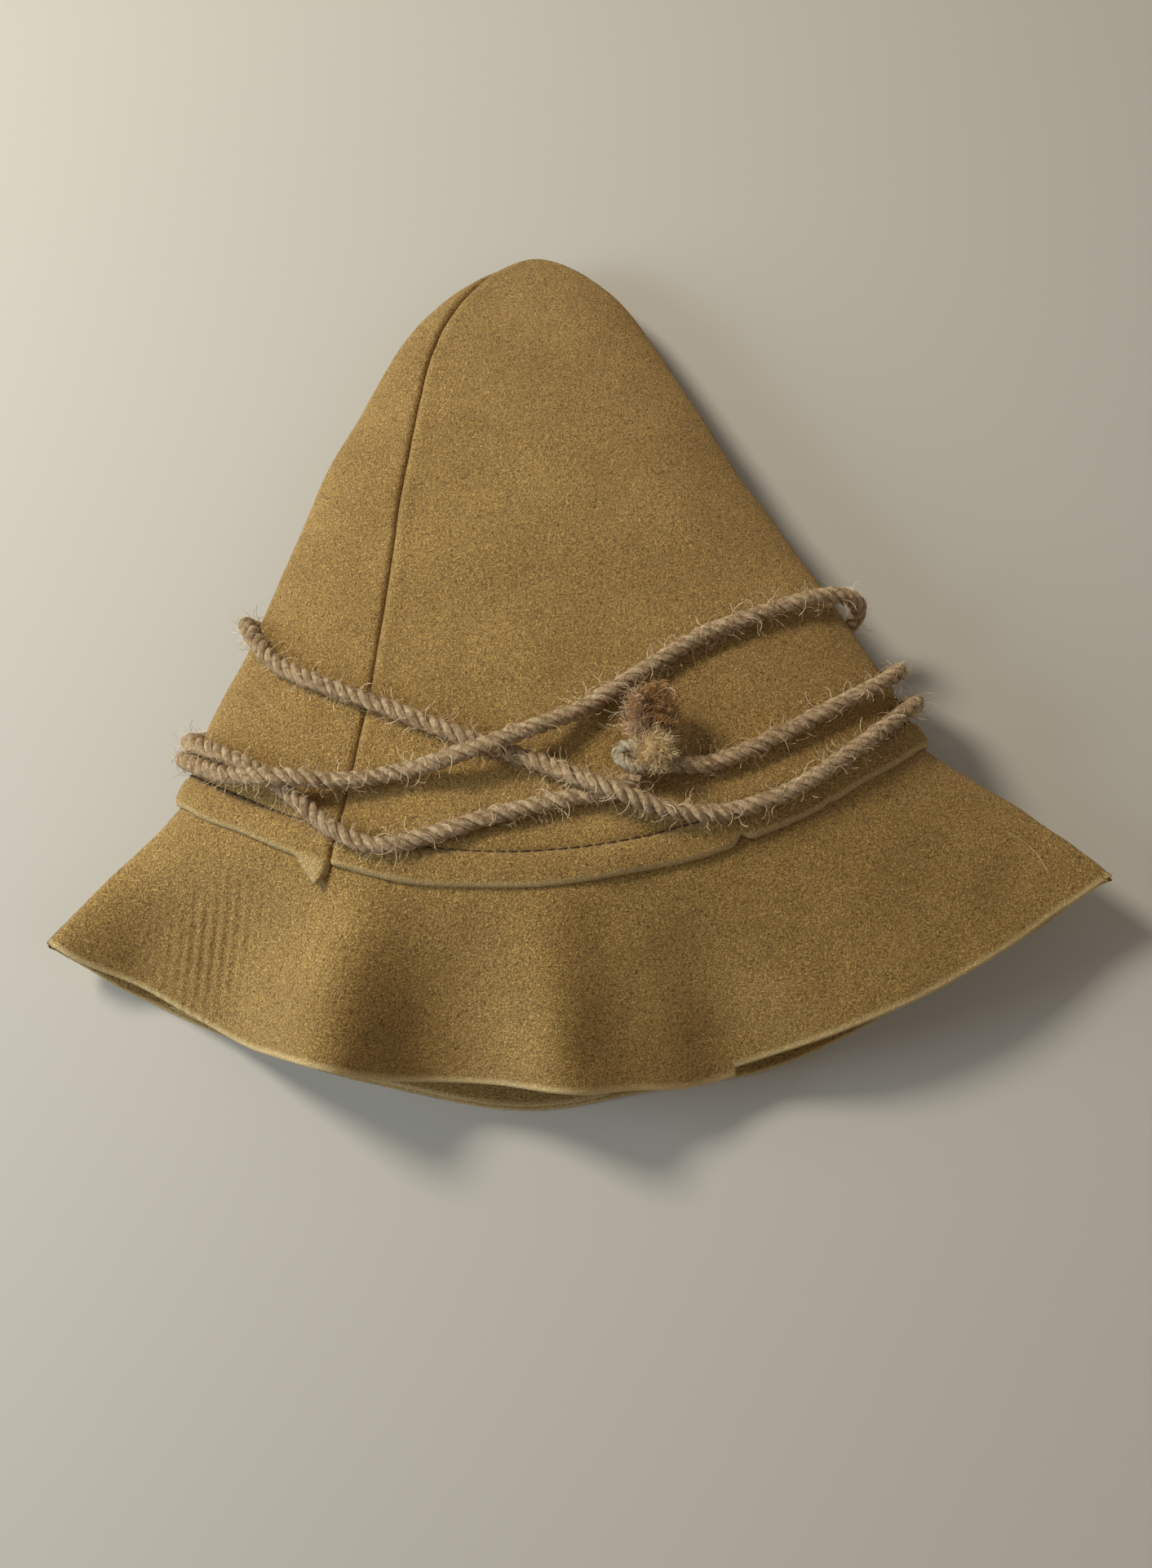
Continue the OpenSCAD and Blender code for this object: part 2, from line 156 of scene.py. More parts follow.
# Each tuft: name, CAD node, middle, half sizes, fibres for each square metre, their length in
# metres, rise and curl, light and dark colour, slot.
TUFTS = (
    ("tuft_upper", "rope_tuft_upper", (28.6, -43.6, 71.6), (5.0, 6.2, 3.0), 4.6e6, 0.0052,
     0.45, 1.3, (0.74, 0.42, 0.16), (0.035, 0.014, 0.006), "jute_dark"),
    ("tuft_strands", None, (21.6, -45.0, 71.4), (2.0, 6.5, 2.0), 7.0e6, 0.0050,
     0.3, 0.5, (0.85, 0.60, 0.38), (0.34, 0.20, 0.11), "jute_light"),
    ("tuft_lower", "rope_tuft_lower", (27.6, -58.9, 72.0), (4.0, 4.4, 2.6), 7.5e6, 0.0042,
     0.6, 0.35, (0.95, 0.76, 0.44), (0.50, 0.34, 0.15), "jute_light"))


def bump(a, centre, width):
    """A smooth bump of height 1."""
    return np.exp(-((a - centre) / width) ** 2)


def ease(t):
    """A smooth step from 0 to 1."""
    t = np.clip(t, 0, 1)
    return t * t * (3 - 2 * t)


def station(i, a):
    """Points of the felt's middle surface at a whole station."""
    if i < 0:
        return station(-i, a + 180)
    if i > 10:
        return station(10, a) * (i - 9) - station(9, a) * (i - 10)
    lx, rx, ly, ry, sag, top, share_l, share_r, bottom, power = STATIONS[i]
    c, s = np.cos(np.radians(a)), np.sin(np.radians(a))
    w = (1 + c) / 2
    low = FELT / 2 - BRIM_DROP - 0.4 if i > 8 else FELT / 2 + bottom * ROPE
    high = low if i == 0 else top * CROWN_RISE
    left, right = low + (high - low) * share_l, low + (high - low) * share_r
    fold, middle = left + (right - left) * w, (left + right) / 2
    turned = np.mod(a, 360)
    wave = WAVE_RISE * sum(share * bump(turned, at, width) for at, width, share in WAVES)
    share = {10: 1, 9: 0.5, 8: 0.05}.get(i, 0)
    flat = np.minimum(np.abs(c), 1)
    over = fold + (high - middle) * np.sqrt(np.maximum(1 - flat ** 2, 0)) + wave * share
    under = fold - (middle - low) * np.maximum(1 - flat ** power, 0) ** (1 / power)
    return np.stack([lx + (rx - lx) * w - MIDDLE[0],
                     ly + (ry - ly) * w - sag * s * s - MIDDLE[1],
                     np.where(s >= 0, over, under)], -1)


def felt_at(k, a):
    """Points of the felt's middle surface at any level and angle."""
    k, a = np.broadcast_arrays(np.asarray(k, float), np.asarray(a, float))
    table = np.stack([station(i, a) for i in range(-1, 13)])
    i = np.clip(np.floor(k + 1e-6).astype(int), 0, 10)
    t = (k - i)[..., None]
    p0, p1, p2, p3 = (np.take_along_axis(table, (i + o)[None, ..., None], 0)[0]
                      for o in range(4))
    return (2 * p1 + (p2 - p0) * t + (2 * p0 - 5 * p1 + 4 * p2 - p3) * t * t
            + (3 * p1 - p0 - 3 * p2 + p3) * t ** 3) / 2


def unit(v):
    """Vectors of length 1."""
    return v / np.maximum(np.linalg.norm(v, axis=-1, keepdims=True), 1e-9)


def outward(k, a):
    """Directions that point out of the felt."""
    j = np.maximum(k, 0.03)
    return unit(np.cross(felt_at(j, a + 1) - felt_at(j, a - 1),
                         felt_at(j + 0.02, a) - felt_at(j - 0.02, a)))


def above(k, a, h):
    """Points that lie a height above the felt's middle surface."""
    k, a, h = np.broadcast_arrays(*(np.asarray(value, float) for value in (k, a, h)))
    return felt_at(k, a) + outward(k, a) * h[..., None]


def seam_left(k):
    """Angle of the crown's left seam at a level."""
    return np.interp(k, SEAM[:, 0], SEAM[:, 1])


def run_along(points, weight=1):
    """The distance of each point of a line from its start."""
    steps = np.linalg.norm(np.diff(points, axis=0), axis=1) * weight
    return np.concatenate([[0], np.cumsum(steps)])


def down_the_felt(k, a):
    """Directions along the felt, away from the crown's point."""
    return unit(felt_at(k + 0.02, a) - felt_at(k - 0.02, a))


def ripple(points, seed, length, amount):
    """A gentle uneven height that varies over a given length."""
    rng = np.random.default_rng(seed)
    total = np.zeros(points.shape[:-1])
    for n in range(9):
        way = unit(rng.normal(size=3)) * 2 * math.pi / (length * rng.uniform(0.7, 1.5))
        total += np.sin(points @ way + rng.uniform(0, 6.28))
    return total * amount / 3


# ---------------------------------------------------------------------------
# Meshes, node trees and materials
# ---------------------------------------------------------------------------

def new_mesh(name, points, faces, values=None, uv=None, smooth=True):
    """A mesh object at the origin from points in millimetres, with values kept on its points."""
    mesh = bpy.data.meshes.new(name)
    mesh.from_pydata((np.asarray(points, float) * MM).tolist(), [], [list(f) for f in faces])
    mesh.validate()
    mesh.update()
    for key, value in (values or {}).items():
        kept = mesh.attributes.new(key, "FLOAT", "POINT")
        kept.data.foreach_set("value", np.asarray(value, np.float32).ravel())
    if uv is not None:
        layer = mesh.uv_layers.new(name="UVMap")
        corner = np.zeros(len(mesh.loops), np.int32)
        mesh.loops.foreach_get("vertex_index", corner)
        layer.data.foreach_set("uv", np.asarray(uv, np.float32)[corner].ravel())
    if smooth:
        mesh.polygons.foreach_set("use_smooth", [True] * len(mesh.polygons))
    piece = bpy.data.objects.new(name, mesh)
    bpy.context.scene.collection.objects.link(piece)
    return piece


def grid_faces(rows, columns, start=0, wrap=False, flip=False):
    """Faces between the rows of a grid of points."""
    last = columns if wrap else columns - 1
    i, j = np.meshgrid(np.arange(rows - 1), np.arange(last), indexing="ij")
    q = (j + 1) % columns
    quad = np.stack([i * columns + j, (i + 1) * columns + j, (i + 1) * columns + q,
                     i * columns + q], -1).reshape(-1, 4) + start
    return quad[:, ::-1] if flip else quad


def baked(piece, tree, inputs, name):
    """Runs a Geometry Nodes tree on a piece and returns the result as a plain mesh object."""
    modifier = piece.modifiers.new("make", "NODES")
    modifier.node_group = tree
    sockets = {item.name: item.identifier for item in tree.interface.items_tree
               if item.item_type == "SOCKET" and item.in_out == "INPUT"}
    for key, value in inputs.items():
        modifier[sockets[key]] = value
    bpy.context.view_layer.update()
    graph = bpy.context.evaluated_depsgraph_get()
    mesh = bpy.data.meshes.new_from_object(piece.evaluated_get(graph), depsgraph=graph)
    mesh.name = name
    piece.modifiers.remove(modifier)
    # Nothing goes below the floor.
    spots = np.empty(len(mesh.vertices) * 3, np.float32)
    mesh.vertices.foreach_get("co", spots)
    spots[2::3] = np.maximum(spots[2::3], FLOOR * MM)
    mesh.vertices.foreach_set("co", spots)
    result = bpy.data.objects.new(name, mesh)
    bpy.context.scene.collection.objects.link(result)
    return result


class Tree:
    """A short hand for building node trees."""

    def __init__(self, tree, inputs=(), outputs=()):
        self.tree = tree
        self.nodes = tree.nodes
        self.nodes.clear()
        for way, rows in (("INPUT", inputs), ("OUTPUT", outputs)):
            for name, kind, *value in rows:
                socket = tree.interface.new_socket(name=name, in_out=way,
                                                   socket_type="NodeSocket" + kind)
                if value:
                    socket.default_value = value[0]

    def add(self, kind, links=None, **settings):
        """Adds a node with its settings, and links or sets its inputs."""
        node = self.nodes.new(kind)
        for key, value in settings.items():
            setattr(node, key, value)
        for key, value in (links or {}).items():
            target = node.inputs[key]
            if isinstance(value, bpy.types.NodeSocket):
                self.tree.links.new(value, target)
            else:
                target.default_value = value
        return node

    def get(self, kind, links=None, output=0, **settings):
        """Adds a node and returns one of its outputs."""
        return self.add(kind, links, **settings).outputs[output]

    def math(self, how, a, b=0.0, clamp=False):
        return self.get("ShaderNodeMath", {0: a, 1: b}, operation=how, use_clamp=clamp)

    def times(self, a, b):
        return self.math("MULTIPLY", a, b)

    def xyz(self, x=0.0, y=0.0, z=0.0):
        return self.get("ShaderNodeCombineXYZ", {"X": x, "Y": y, "Z": z})

    def noise(self, vector, scale, detail, **more):
        return self.get("ShaderNodeTexNoise",
                        {"Vector": vector, "Scale": scale, "Detail": detail, **more})

    def mix(self, share, first, second):
        return self.get("ShaderNodeMix", {0: share, 6: first, 7: second}, 2, data_type="RGBA")

    def between(self, value, low, high):
        return self.get("ShaderNodeMapRange", {"Value": value, 1: low, 2: high})

    def random(self, low, high, seed):
        return self.get("FunctionNodeRandomValue", {2: low, 3: high, "Seed": seed}, 1,
                        data_type="FLOAT")

    def named(self, name, kind="FLOAT"):
        return self.get("GeometryNodeInputNamedAttribute", {"Name": name}, "Attribute",
                        data_type=kind)

    def put_out(self, geometry, material):
        """Makes instances real, gives them their material and puts them out."""
        real = self.get("GeometryNodeRealizeInstances", {"Geometry": geometry})
        done = self.get("GeometryNodeSetMaterial", {"Geometry": real, "Material": material})
        self.add("NodeGroupOutput", {"Geometry": done})


def once(store):
    """Builds a material or a node tree once, and finds it by its name after that."""
    def wrap(build):
        def get(name, *rest):
            kept = getattr(bpy.data, store)
            if name not in kept:
                build(name, *rest)
            return kept[name]
        return get
    return wrap


@once("node_groups")
def fibre_tree(name):
    """Loose fibres that grow from a surface, thicker where its 'grow' value is high."""
    t = Tree(bpy.data.node_groups.new(name, "GeometryNodeTree"), (
        ("Geometry", "Geometry"), ("Fibres per square metre", "Float", 100000.0),
        ("Length", "Float", 0.002), ("Width", "Float", 0.00006), ("Rise", "Float", 0.3),
        ("Curl", "Float", 0.3), ("Spread", "Float", 0.5), ("Seed", "Int", 1),
        ("Material", "Material")), [("Geometry", "Geometry")])
    given = t.add("NodeGroupInput").outputs
    length, seed = given["Length"], given["Seed"]
    density = t.times(t.named("grow"), given["Fibres per square metre"])
    points = t.add("GeometryNodeDistributePointsOnFaces",
                   {"Mesh": given["Geometry"], "Density": density, "Seed": seed},
                   distribute_method="RANDOM").outputs
    rise, curl = t.times(length, given["Rise"]), t.times(length, given["Curl"])
    line = t.get("GeometryNodeCurveQuadraticBezier", {
        "Resolution": 4, "Start": (0, 0, 0), "Middle": t.xyz(t.times(length, 0.5), curl, rise),
        "End": t.xyz(length, 0.0, t.times(rise, 1.25))})
    flat = t.get("GeometryNodeCurvePrimitiveLine",
                 {"Start": (0, 0, 0), "End": t.xyz(given["Width"])})
    ribbon = t.get("GeometryNodeCurveToMesh", {"Curve": line, "Profile Curve": flat})
    aligned = t.get("FunctionNodeAlignRotationToVector", {"Vector": points["Normal"]}, axis="Z")
    spin = t.random(0.0, 6.2832, seed)
    tilt = t.times(t.random(-0.6, 0.6, t.math("ADD", seed, 7.0)), given["Spread"])
    turned = t.get("FunctionNodeRotateRotation",
                   {"Rotation": aligned, "Rotate By": t.xyz(tilt, tilt, spin)},
                   rotation_space="LOCAL")
    size = t.random(0.45, 1.3, t.math("ADD", seed, 13.0))
    t.put_out(t.get("GeometryNodeInstanceOnPoints", {
        "Points": points["Points"], "Instance": ribbon, "Rotation": turned, "Scale": size}),
        given["Material"])


@once("node_groups")
def stitch_tree(name):
    """Stitches at an even pitch along a path whose 'up' value points out of the cloth."""
    t = Tree(bpy.data.node_groups.new(name, "GeometryNodeTree"), (
        ("Geometry", "Geometry"), ("Pitch", "Float", 0.006), ("Stitch length", "Float", 0.0042),
        ("Thread", "Float", 0.0007), ("Material", "Material")), [("Geometry", "Geometry")])
    given = t.add("NodeGroupInput").outputs
    path = t.get("GeometryNodeMeshToCurve", {"Mesh": given["Geometry"]})
    even = t.get("GeometryNodeResampleCurve", {"Curve": path, "Length": given["Pitch"]},
                 mode="LENGTH")
    half = t.times(given["Stitch length"], 0.5)
    arc = t.get("GeometryNodeCurveQuadraticBezier", {
        "Resolution": 6, "Start": t.xyz(t.times(half, -1.0)),
        "Middle": t.xyz(z=t.times(given["Thread"], 1.1)), "End": t.xyz(half)})
    ring = t.get("GeometryNodeCurvePrimitiveCircle",
                 {"Resolution": 7, "Radius": t.times(given["Thread"], 0.5)})
    bar = t.get("GeometryNodeCurveToMesh",
                {"Curve": arc, "Profile Curve": ring, "Fill Caps": True})
    turn = t.get("FunctionNodeAxesToRotation",
                 {"Primary Axis": t.named("up", "FLOAT_VECTOR"),
                  "Secondary Axis": t.get("GeometryNodeInputTangent")},
                 primary_axis="Z", secondary_axis="X")
    t.put_out(t.get("GeometryNodeInstanceOnPoints",
                    {"Points": even, "Instance": bar, "Rotation": turn}), given["Material"])


@once("node_groups")
def mottle_group(name):
    """Uneven colour: a light and a dark shade mixed by a fine grain and by broad patches."""
    t = Tree(bpy.data.node_groups.new(name, "ShaderNodeTree"), (
        ("Vector", "Vector"), ("Light", "Color", (0.8, 0.8, 0.8, 1)),
        ("Dark", "Color", (0.4, 0.4, 0.4, 1)), ("Grain scale", "Float", 600.0),
        ("Patch scale", "Float", 40.0), ("Patch amount", "Float", 0.3),
        ("Speck amount", "Float", 0.3)), (("Color", "Color"), ("Height", "Float")))
    given = t.add("NodeGroupInput").outputs
    place, scale, dark = given["Vector"], given["Grain scale"], given["Dark"]
    grain = t.noise(place, scale, 3.0, Roughness=0.62, Distortion=0.4)
    patch = t.noise(place, given["Patch scale"], 2.0, Roughness=0.55)
    shift = t.times(t.math("SUBTRACT", patch, 0.5), given["Patch amount"])
    mixed = t.math("ADD", t.between(grain, 0.38, 0.62), shift, clamp=True)
    tone = t.mix(mixed, dark, given["Light"])
    speck = t.noise(place, t.times(scale, 0.62), 1.0, Distortion=0.6)
    dots = t.times(t.between(speck, 0.60, 0.67), given["Speck amount"])
    deep = t.mix(0.65, dark, SPECK_COLOR)
    t.add("NodeGroupOutput", {"Color": t.mix(dots, tone, deep), "Height": mixed})


def rgba(color):
    """A colour with full alpha."""
    return (color[0], color[1], color[2], 1.0)


def started(name):
    """The empty node tree of a new material."""
    surface = bpy.data.materials.new(name)
    surface.use_nodes = True
    return Tree(surface.node_tree)


def mottled(t, light, dark, grain, patch, amount, specks):
    """Places the uneven colour in a material. Returns its coordinates and its outputs."""
    place = t.get("ShaderNodeTexCoord", output="Object")
    return place, t.add("ShaderNodeGroup", {
        "Vector": place, "Light": rgba(light), "Dark": rgba(dark), "Grain scale": grain,
        "Patch scale": patch, "Patch amount": amount, "Speck amount": specks},
        node_tree=mottle_group("Mottle")).outputs


def finish_material(t, color, height=None, depth=0, **shader):
    """Joins a colour and a bump height to a Principled shader with constant settings."""
    links = {"Base Color": color}
    if height is not None:
        links["Normal"] = t.get("ShaderNodeBump",
                                {"Height": height, "Distance": depth, "Strength": 1.0})
    node = t.add("ShaderNodeBsdfPrincipled", links)
    for key, value in shader.items():
        node.inputs[key.replace("_", " ")].default_value = value
    t.add("ShaderNodeOutputMaterial", {"Surface": node.outputs[0]})


@once("materials")
def felt_material(name, settings):
    """Thick wool felt: matted fibres, broad warm and cool patches, and a painted highlight on its
    cut edges.
    """
    t = started(name)
    place, look = mottled(t, settings.light, settings.dark, 1550.0, 26.0, 0.55, 0.65)
    tuft = t.noise(place, 480.0, 3.0, Roughness=0.6)
    # Painted highlight: the felt's cut edges are mixed toward a paler colour.
    cut = t.get("ShaderNodeAttribute", output="Fac", attribute_name="cut")
    pale = t.mix(look["Height"], rgba([c * 0.72 for c in settings.cut]), rgba(settings.cut))
    height = t.math("ADD", t.times(look["Height"], 0.45), tuft)
    finish_material(t, t.mix(cut, look["Color"], pale), height, 0.0008, Roughness=0.95,
                    Sheen_Weight=0.22, Sheen_Roughness=0.45, Sheen_Tint=(1.0, 0.9, 0.72, 1.0),
                    Specular_IOR_Level=0.15)


@once("materials")
def jute_material(name, light, dark, gap=0.75):
    """Twisted jute: fibres that run along each strand, and painted shade in the hollows between
    strands.
    """
    t = started(name)
    along = t.get("ShaderNodeUVMap", uv_map="UVMap")
    stretched = t.get("ShaderNodeMapping", {"Vector": along, "Scale": (60.0, 9.0, 1.0)})
    lines = t.noise(stretched, 1.0, 4.0, Roughness=0.7, Distortion=0.4)
    look = mottled(t, light, dark, 420.0, 110.0, 1.0, 0.3)[1]
    tone = t.mix(t.times(t.between(lines, 0.44, 0.58), 0.75), look["Color"], rgba(light))
    # Painted shade: points that lie deep between the strands are mixed toward a dark colour.
    deep = t.times(t.get("ShaderNodeAttribute", output="Fac", attribute_name="hollow"), gap)
    finish_material(t, t.mix(deep, tone, GAP_SHADE_COLOR), lines, 0.0016, Roughness=0.55,
                    Specular_IOR_Level=0.5)


@once("materials")
def hair_material(name, light, dark, look=(300.0, 90.0, 0.5), roughness=0.65, specular=0.35):
    """Loose fibres, with some of them paler than others."""
    t = started(name)
    color = mottled(t, light, dark, *look, 0.1)[1]["Color"]
    finish_material(t, color, Roughness=roughness, Specular_IOR_Level=specular)


@once("materials")
def thread_material(name, light, dark):
    """Sewing thread with a fine twist."""
    t = started(name)
    place, look = mottled(t, light, dark, 1500.0, 200.0, 0.3, 0.0)
    twist = t.get("ShaderNodeTexWave", {"Vector": place, "Scale": 900.0, "Distortion": 1.5},
                  "Fac", bands_direction="DIAGONAL")
    finish_material(t, look["Color"], twist, 0.00012, Roughness=0.6, Specular_IOR_Level=0.4)


@once("materials")
def floor_material(name, color):
    """A plain matt floor."""
    t = started(name)
    soft = t.noise(t.get("ShaderNodeTexCoord", output="Object"), 3.0, 2.0)
    shade = t.mix(soft, rgba([c * 0.97 for c in color]), rgba(color))
    finish_material(t, shade, Roughness=0.9, Specular_IOR_Level=0.1)


# ---------------------------------------------------------------------------
# Felt panels and brim
# ---------------------------------------------------------------------------

def even_angles(k, a0, a1, marks):
    """Angles along one level at given distances, in millimetres, from the first seam."""
    fine = np.linspace(a0, a1, 721)
    line = felt_at(np.full_like(fine, k), fine)
    run = run_along(line)
    return np.interp(marks(run[-1]), run, fine), marks(run[-1]), run[-1]


def crown_panel(name, back, columns):
    """One crown panel as a closed solid, with its groove at the seams and its bevelled cut edge."""
    near = np.array([0, 0.35, 0.75, 1.2, 1.8, 2.6, 3.6, 5.0])

    def marks(total):
        edge = near * min(1.0, total / 40)
        inner = np.linspace(edge[-1], total - edge[-1], columns)
        return np.concatenate([edge[:-1], inner, (total - edge[:-1])[::-1]])

    levels = np.concatenate([
        [0.03, 0.06, 0.1, 0.15, 0.2, 0.26, 0.32, 0.39, 0.46, 0.53], np.arange(0.6, 7.5, 0.05),
        np.arange(7.5, 7.95, 0.0175), [7.96, 7.978, 7.99]])
    angle, gap, total = [], [], []
    for k in levels:
        left = float(seam_left(k))
        a0, a1 = (left, left + 180) if back else (left - 180, left)
        a, s, length = even_angles(k, a0, a1, marks)
        angle.append(a)
        gap.append(s)
        total.append(length)
    angle, gap, total = np.array(angle), np.array(gap), np.array(total)
    level = np.repeat(levels[:, None], angle.shape[1], 1)

    # The cut edge waves a little, with a notch and a small tick in the front.
    turned = np.mod(angle, 360)
    wobble = 0.45 * np.sin(np.radians(turned * 7 + 40)) + 0.3 * np.sin(np.radians(turned * 17))
    trim = wobble - 3.2 * bump(turned, NOTCH_ANGLE, 0.9) - 1.1 * bump(turned, 45.5, 0.6)
    level = level + ease((level - 7.55) / 0.45) * trim / LEVEL

    # Heights above the middle of the felt.
    d_first, d_last = gap, total[:, None] - gap
    soft = ease(levels / 0.8)[:, None]
    puff = (0.10, 0.10) if back else (0.10, 0.42)
    dip = 0
    for d, p in ((d_first, puff[0]), (d_last, puff[1])):
        dip = dip + soft * (-1.9 * np.exp(-(d / 0.85) ** 1.3)
                            + p * np.exp(-((d - 4.0) / 2.6) ** 2))
    below = (level - STITCH_LEVEL) * LEVEL
    band = np.clip(below / 10.0, 0, 1)
    sewn = (-1.0 * np.exp(-(below / 1.05) ** 2) + 0.35 * np.exp(-((below + 4.5) / 2.6) ** 2)
            + 0.85 * np.sin(math.pi * band ** 0.8) * (below > 0))
    thick = np.interp(level, [0, 0.35, 0.8], [0.1, 0.35, 1]) * FELT / 2
    middle = felt_at(level, angle)
    lump = ripple(middle, 3 + back, 42, 0.32) + ripple(middle, 8, 15, 0.09)
    lump = lump * ease(level / 1.2)
    # A short crease where the crown folds over on the left.
    across = (level - 6.58 - 0.0146 * (160.2 - turned)) * LEVEL
    lump = lump + bump(turned, 153.5, 6.5) * (1.5 * np.exp(-((across + 3.6) / 2.2) ** 2)
                                              - 2.0 * np.exp(-(across / 1.6) ** 2))
    skin = above(level, angle, FELT / 2 + dip + sewn + lump)
    skin[..., 2] = np.maximum(skin[..., 2], 0.0)

    # The inner side, with the seam allowances turned in.
    flange = np.interp(levels, [0, 0.5, 2, 7.1, 7.5, 8], [0, 0.1, 1, 1, 0.05, 0]) * ALLOWANCE
    thin = thick[:, 0] + flange + 0.05
    width = np.minimum(FELT, total / 12)
    share = (gap - total[:, None] / 2) * (1 - 2 * width / total)[:, None] + total[:, None] / 2
    inner_angle = np.stack([np.interp(share[r], gap[r], angle[r]) for r in range(len(levels))])
    # A corner of the back panel's seam allowance shows below the cut edge as a small pointed flap.
    run = gap[-1]
    slope = np.where(run < 2.6, (2.6 - run) / 4.2, (run - 2.6) / 12.0)
    tab = (FLAP * np.clip(1 - slope, 0, 1) if back else np.zeros_like(run))[:, None]
    lining = above(level, inner_angle, -thick + lump * 0.8)
    lining[..., 2] = np.maximum(lining[..., 2], 0.3)

    def turned_in(at):
        p = above(level[:, 0], at, -thin)
        p[:, 2] = np.maximum(p[:, 2], 0.3)
        return p

    first = [turned_in(inner_angle[:, 0]), turned_in(angle[:, 0])]
    last = [turned_in(angle[:, -1]), turned_in(inner_angle[:, -1])]
    ring = np.concatenate([skin, last[0][:, None], last[1][:, None], lining[:, ::-1],
                           first[0][:, None], first[1][:, None]], 1)
    m, n, rows = ring.shape[1], skin.shape[1], len(levels)
    points = ring.reshape(-1, 3)
    faces = grid_faces(rows, m, wrap=True).tolist()

    # The cut edge: a bevel from the outer skin down to the longer inner side.
    down = down_the_felt(level[-1], angle[-1])
    up = outward(level[-1], angle[-1])
    curl = (0.9 * bump(np.mod(angle[-1], 360), float(seam_left(8)) + 6, 4) if back
            else 1.2 * bump(turned[-1], float(seam_left(8)) - 3, 3))[:, None]
    # Each row of the bevel: how far down, the flap's share of it, the curl's share of the
    # height, how far in, and the flap's share of that.
    rim = [skin[-1] + down * (out + tab * far) + up * (curl * rise - depth + tab * high)
           for out, far, rise, depth, high in (
               (0.5, 0, 0.5, 0.12, 0), (1.1, 0.3, 1, 0.5, 0.05), (1.9, 0.7, 0.6, 1.1, 0.12),
               (2.6, 1, 0.3, 2.0, 0.25), (2.3, 1, 0, 2.9, 0.18))]
    start = len(points)
    points = np.concatenate([points] + [np.maximum(r, [-1e9, -1e9, 0.0]) for r in rim])
    base = (rows - 1) * m
    lines = [base + np.arange(n)] + [start + i * n + np.arange(n) for i in range(len(rim))]
    lines.append(base + (m - 3) - np.arange(n))
    for one, two in zip(lines[:-1], lines[1:]):
        for j in range(n - 1):
            faces.append([one[j], two[j], two[j + 1], one[j + 1]])
    faces.append([base + n - 1] + [ln[-1] for ln in lines[1:]] + [base + n + 1, base + n])
    faces.append([base + m - 1, base + m - 2] + [ln[0] for ln in lines[1:]][::-1] + [base])
    faces += [[j, j + 1, m - 3 - (j + 1), m - 3 - j] for j in range(n - 1)]
    faces += [[n - 1, n, n + 1, n + 2], [m - 3, m - 2, m - 1, 0]]
    # Painted highlight: how much of the pale edge colour each row of the cut edge gets.
    cut = np.zeros(len(points))
    cut[start:start + n] = 0.2
    cut[start + n:start + 4 * n] = 0.5
    cut[start + 4 * n:] = 0.3
    grow = np.zeros(len(points))
    grow[:rows * m].reshape(rows, m)[:, :n] = ease(levels / 0.5)[:, None]
    grow[start:start + 3 * n] = 1.3
    return new_mesh(name, points, faces, {"cut": cut, "grow": grow})


